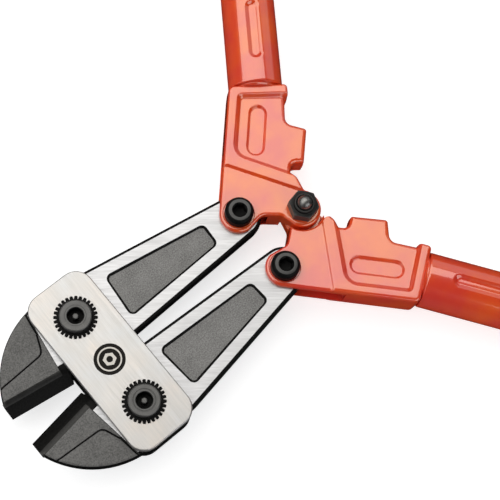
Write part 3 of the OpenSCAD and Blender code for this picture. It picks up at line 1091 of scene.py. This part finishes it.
def badge_material(name, colour):
    box = Paintbox(name, Specular_IOR_Level=0.1)
    grain = box.noise(0.25, 2)
    shade = tuple(c * 0.8 for c in colour)
    box.feed("Base Color", box.mix(box.spread(grain, 0.3, 0.7), colour, shade))
    box.feed("Roughness", box.spread(grain, 0.3, 0.7, 0.4, 0.6))
    return box.material


# ---- the object ------------------------------------------------------------------------


def socket_region(rim_r, socket_r, face):
    """For a bolt head whose top is at height face: 1 inside the socket or past the rim, where black is
    painted as shade, 2 on top.
    """

    def region(middles, normals):
        away, height = np.hypot(middles[:, 0], middles[:, 1]), middles[:, 2]
        sunk = (away < socket_r) & (away > JAW_PIN_R + 0.1) & (height < face - 0.1)
        # Painted shade: the socket's inside and the collar and sides past the rim take the black material.
        painted_shade = (sunk | (away > rim_r)) & (height > 0)
        flat = (away > socket_r) & (height > face - 0.01)
        return np.where(flat, 2, painted_shade.astype(int))

    return region


def painted_shade_except_underside(middles, normals):
    """1 everywhere but on a face that looks down, for black painted as shade."""
    return (normals[:, 2] > -0.8).astype(int)


def build_badge(head):
    """A printed sign on the top plate, in two thin pieces."""
    for name, shape, colour in (
        ("badge_disc", badge_shape(), (0.012, 0.010, 0.009)),
        ("badge_sign", badge_sign_shape(), (0.80, 0.77, 0.73)),
    ):
        obj = make_object(name, shape, head)
        paint(obj, [badge_material(name + "_ink", colour)])
        smooth(obj)
        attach(obj, "head")


def build_head(places):
    steel, black = plate_material(), black_edge_and_shade_material()
    oxide = oxide_material("black_oxide", 0.026, 0.04)
    head = places["head"]
    top = plate_shape(PLATE_LOW, PLATE_TOP, True)
    bottom = plate_shape(-PLATE_TOP, -PLATE_LOW, False)
    add_piece("top_side_plate", top, head, "head", [steel])
    # The bottom plate's inner face and rim are painted black as shade; its underside stays steel.
    add_piece("bottom_side_plate", bottom, head, "head", [steel, black], painted_shade_except_underside)
    # Jaw bolts: black painted as shade in the socket and round the toothed collar.
    region = socket_region(JAW_HEAD_R + 0.1, JAW_SOCKET_R + 0.1, JAW_HEAD_TOP)
    for side in ("left", "right"):
        name = side + "_jaw_bolt"
        shape = jaw_bolt_shape(deep_groove=side == "right")
        add_piece(name, shape, places[name], "head", [oxide, black, oxide], region)
    washer = washer_shape(JAW_THREAD_R + RUN, JAW_WASHER_R, -PLATE_TOP)
    nut = nut_shape(JAW_THREAD_R + SNUG, JAW_NUT_AF, JAW_NUT_LOW, -PLATE_TOP - WASHER)
    for name, one in (("jaw_bolt_washers", washer), ("jaw_bolt_nuts", nut)):
        pair = joined(*((one[0] + (0, y, 0), one[1]) for y in (JAW_BOLT_Y, -JAW_BOLT_Y)))
        add_piece(name, pair, head, "head", [oxide])
    build_badge(head)


def build_jaws(places):
    # In the order of GROUND, SKIN, BLACK, UPPER_BEVEL and NOSE.
    materials = [
        ground_material(),
        forged_material("forged_jaw_skin", 0.275),
        bpy.data.materials["blackened_edge_and_painted_shade"],
        oxide_material("bevel_oxide", 0.010, 0.018, gloss=0.35),
        forged_material("forged_nose_skin", 0.175),
    ]
    bronze = bronze_material()
    shape, bushing = jaw_shape(), bushing_shape()
    for side in ("left", "right"):
        body = side + "_jaw_arm"
        place = places[side + "_jaw"]
        add_piece(side + "_jaw", shape, place, body, materials, jaw_region, sharp_angle=25)
        add_piece(side + "_jaw_bushing", bushing, place, body, [bronze])


def bolt_end_region(middles, normals):
    """1 on the centre bolt's dome, above its thread, where wear has bared the steel."""
    return (middles[:, 2] > CENTRE_END).astype(int)


def build_centre(places):
    oxide = bpy.data.materials["black_oxide"]
    dull = oxide_material("nut_oxide", 0.006, 0.012, gloss=0.18)
    body, slot = "centre_pivot", "black_oxide"
    place = places["work"] @ Matrix.Rotation(math.radians(NUT_TURN), 4, "Z")
    washer = washer_shape(CENTRE_SHANK_R + SNUG, CENTRE_WASHER_R, -CENTRE_SEAT)
    bolt = centre_bolt_shape()
    add_piece("centre_washer", washer, place, body, [oxide])
    add_piece("centre_nut", centre_nut_shape(), place, body, [dull])
    add_piece("centre_bolt", bolt, place, body, [dull, worn_material()], bolt_end_region)


def build_handles(places):
    paint_cast = paint_material("red_paint_forging", 0.02)
    paint_tube = paint_material("red_paint_tube", 0.006)
    rubber = rubber_material()
    oxide = bpy.data.materials["black_oxide"]
    black = bpy.data.materials["blackened_edge_and_painted_shade"]
    rubbed = oxide_material("rubbed_oxide", 0.018, 0.03, gloss=0.6)
    fitting, tube, grip, bolt = fitting_shape(), tube_shape(), grip_shape(), toggle_bolt_shape()
    nut = nut_shape(TOGGLE_THREAD_R + SNUG, NUT_AF, -PAD_FACE - NUT_HEIGHT, -PAD_FACE)
    # Toggle bolts: black painted as shade in the socket and on the head's side past the rim.
    region = socket_region(TOGGLE_RIM_R + 0.1, TOGGLE_SOCKET_R, TOGGLE_HEAD_TOP)
    for side in ("left", "right"):
        body = side + "_handle"
        along, toggle = places[side + "_tube"], places[side + "_toggle"]
        add_piece(side + "_fitting", fitting, places[side + "_fitting"], body, [paint_cast])
        add_piece(side + "_tube", tube, along, body, [paint_tube])
        add_piece(side + "_grip", grip, along, body, [rubber])
        add_piece(side + "_toggle_bolt", bolt, toggle, body, [oxide, black, rubbed], region)
        add_piece(side + "_toggle_nut", nut, toggle, body, [oxide])


# ---- the studio ------------------------------------------------------------------------

# Where the camera stands and looks, in metres, and its roll in degrees.
CAMERA_AT = Vector((-0.2376, -0.0899, 0.5778))
CAMERA_AIM = Vector((-0.0892, 0.0108, 0.0165))
CAMERA_ROLL = 16.55
FLOOR_HALF = 4
# Side lights: place and brightness.
CARDS = {
    "front_card": ((0, -1.5, 0.8), 1.5),
    "left_card": ((-1.6, 0.3, 0.7), 0.5),
    "right_card": ((1.6, 0.3, 0.7), 0.5),
}


def add_camera():
    data = bpy.data.cameras.new("camera")
    data.sensor_width = 36
    data.lens = 87.9
    data.shift_x = 0.045
    data.shift_y = -0.0155
    camera = bpy.data.objects.new("camera", data)
    look = (CAMERA_AIM - CAMERA_AT).to_track_quat("-Z", "Y").to_matrix().to_4x4()
    roll = Matrix.Rotation(math.radians(CAMERA_ROLL), 4, "Z")
    camera.matrix_world = Matrix.Translation(CAMERA_AT) @ look @ roll
    bpy.context.collection.objects.link(camera)
    bpy.context.scene.camera = camera


def add_softbox(name, at, aim, size, radiance, colour=(1, 1, 1)):
    """A rectangular soft light whose surface has the given brightness."""
    data = bpy.data.lights.new(name, "AREA")
    data.shape = "RECTANGLE"
    data.size, data.size_y = size
    data.energy = radiance * math.pi * size[0] * size[1]
    data.color = colour
    light = bpy.data.objects.new(name, data)
    direction = Vector(aim) - Vector(at)
    light.matrix_world = Matrix.Translation(at) @ direction.to_track_quat("-Z", "Y").to_matrix().to_4x4()
    bpy.context.collection.objects.link(light)


def add_floor():
    """A plain pale floor that also glows a little, so that it stays white."""
    mesh = bpy.data.meshes.new("floor")
    r = FLOOR_HALF
    mesh.from_pydata([(-r, -r, 0), (r, -r, 0), (r, r, 0), (-r, r, 0)], [], [(0, 1, 2, 3)])
    floor = bpy.data.objects.new("floor", mesh)
    bpy.context.collection.objects.link(floor)
    pale = Paintbox("pale_floor", Base_Color=(0.48, 0.49, 0.51, 1), Roughness=0.9)
    pale.shader.inputs["Emission Color"].default_value = (1, 1, 1, 1)
    pale.shader.inputs["Emission Strength"].default_value = 0.74
    floor.data.materials.append(pale.material)
    floor.visible_glossy = False


def add_world():
    """A pale background that the camera sees and the object doesn't."""
    world = bpy.data.worlds.new("studio")
    bpy.context.scene.world = world
    world.use_nodes = True
    background = world.node_tree.nodes["Background"].inputs
    background["Color"].default_value = (1, 1, 1, 1)
    background["Strength"].default_value = 0.85
    world.cycles_visibility.diffuse = False
    world.cycles_visibility.glossy = False
    bpy.context.scene.view_settings.view_transform = "Standard"


def build_studio():
    add_floor()
    add_world()
    add_softbox("overhead", (-0.15, 1.1, 1.3), (-0.15, 1.1, 0), (2.8, 2.3), 2.0, (1, 0.975, 0.92))
    for name, (at, radiance) in CARDS.items():
        add_softbox(name, at, (0, 0, 0), (1.8, 1.1), radiance)
    add_camera()


def main():
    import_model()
    places = placings()
    build_head(places)
    build_jaws(places)
    build_centre(places)
    build_handles(places)
    build_studio()


main()
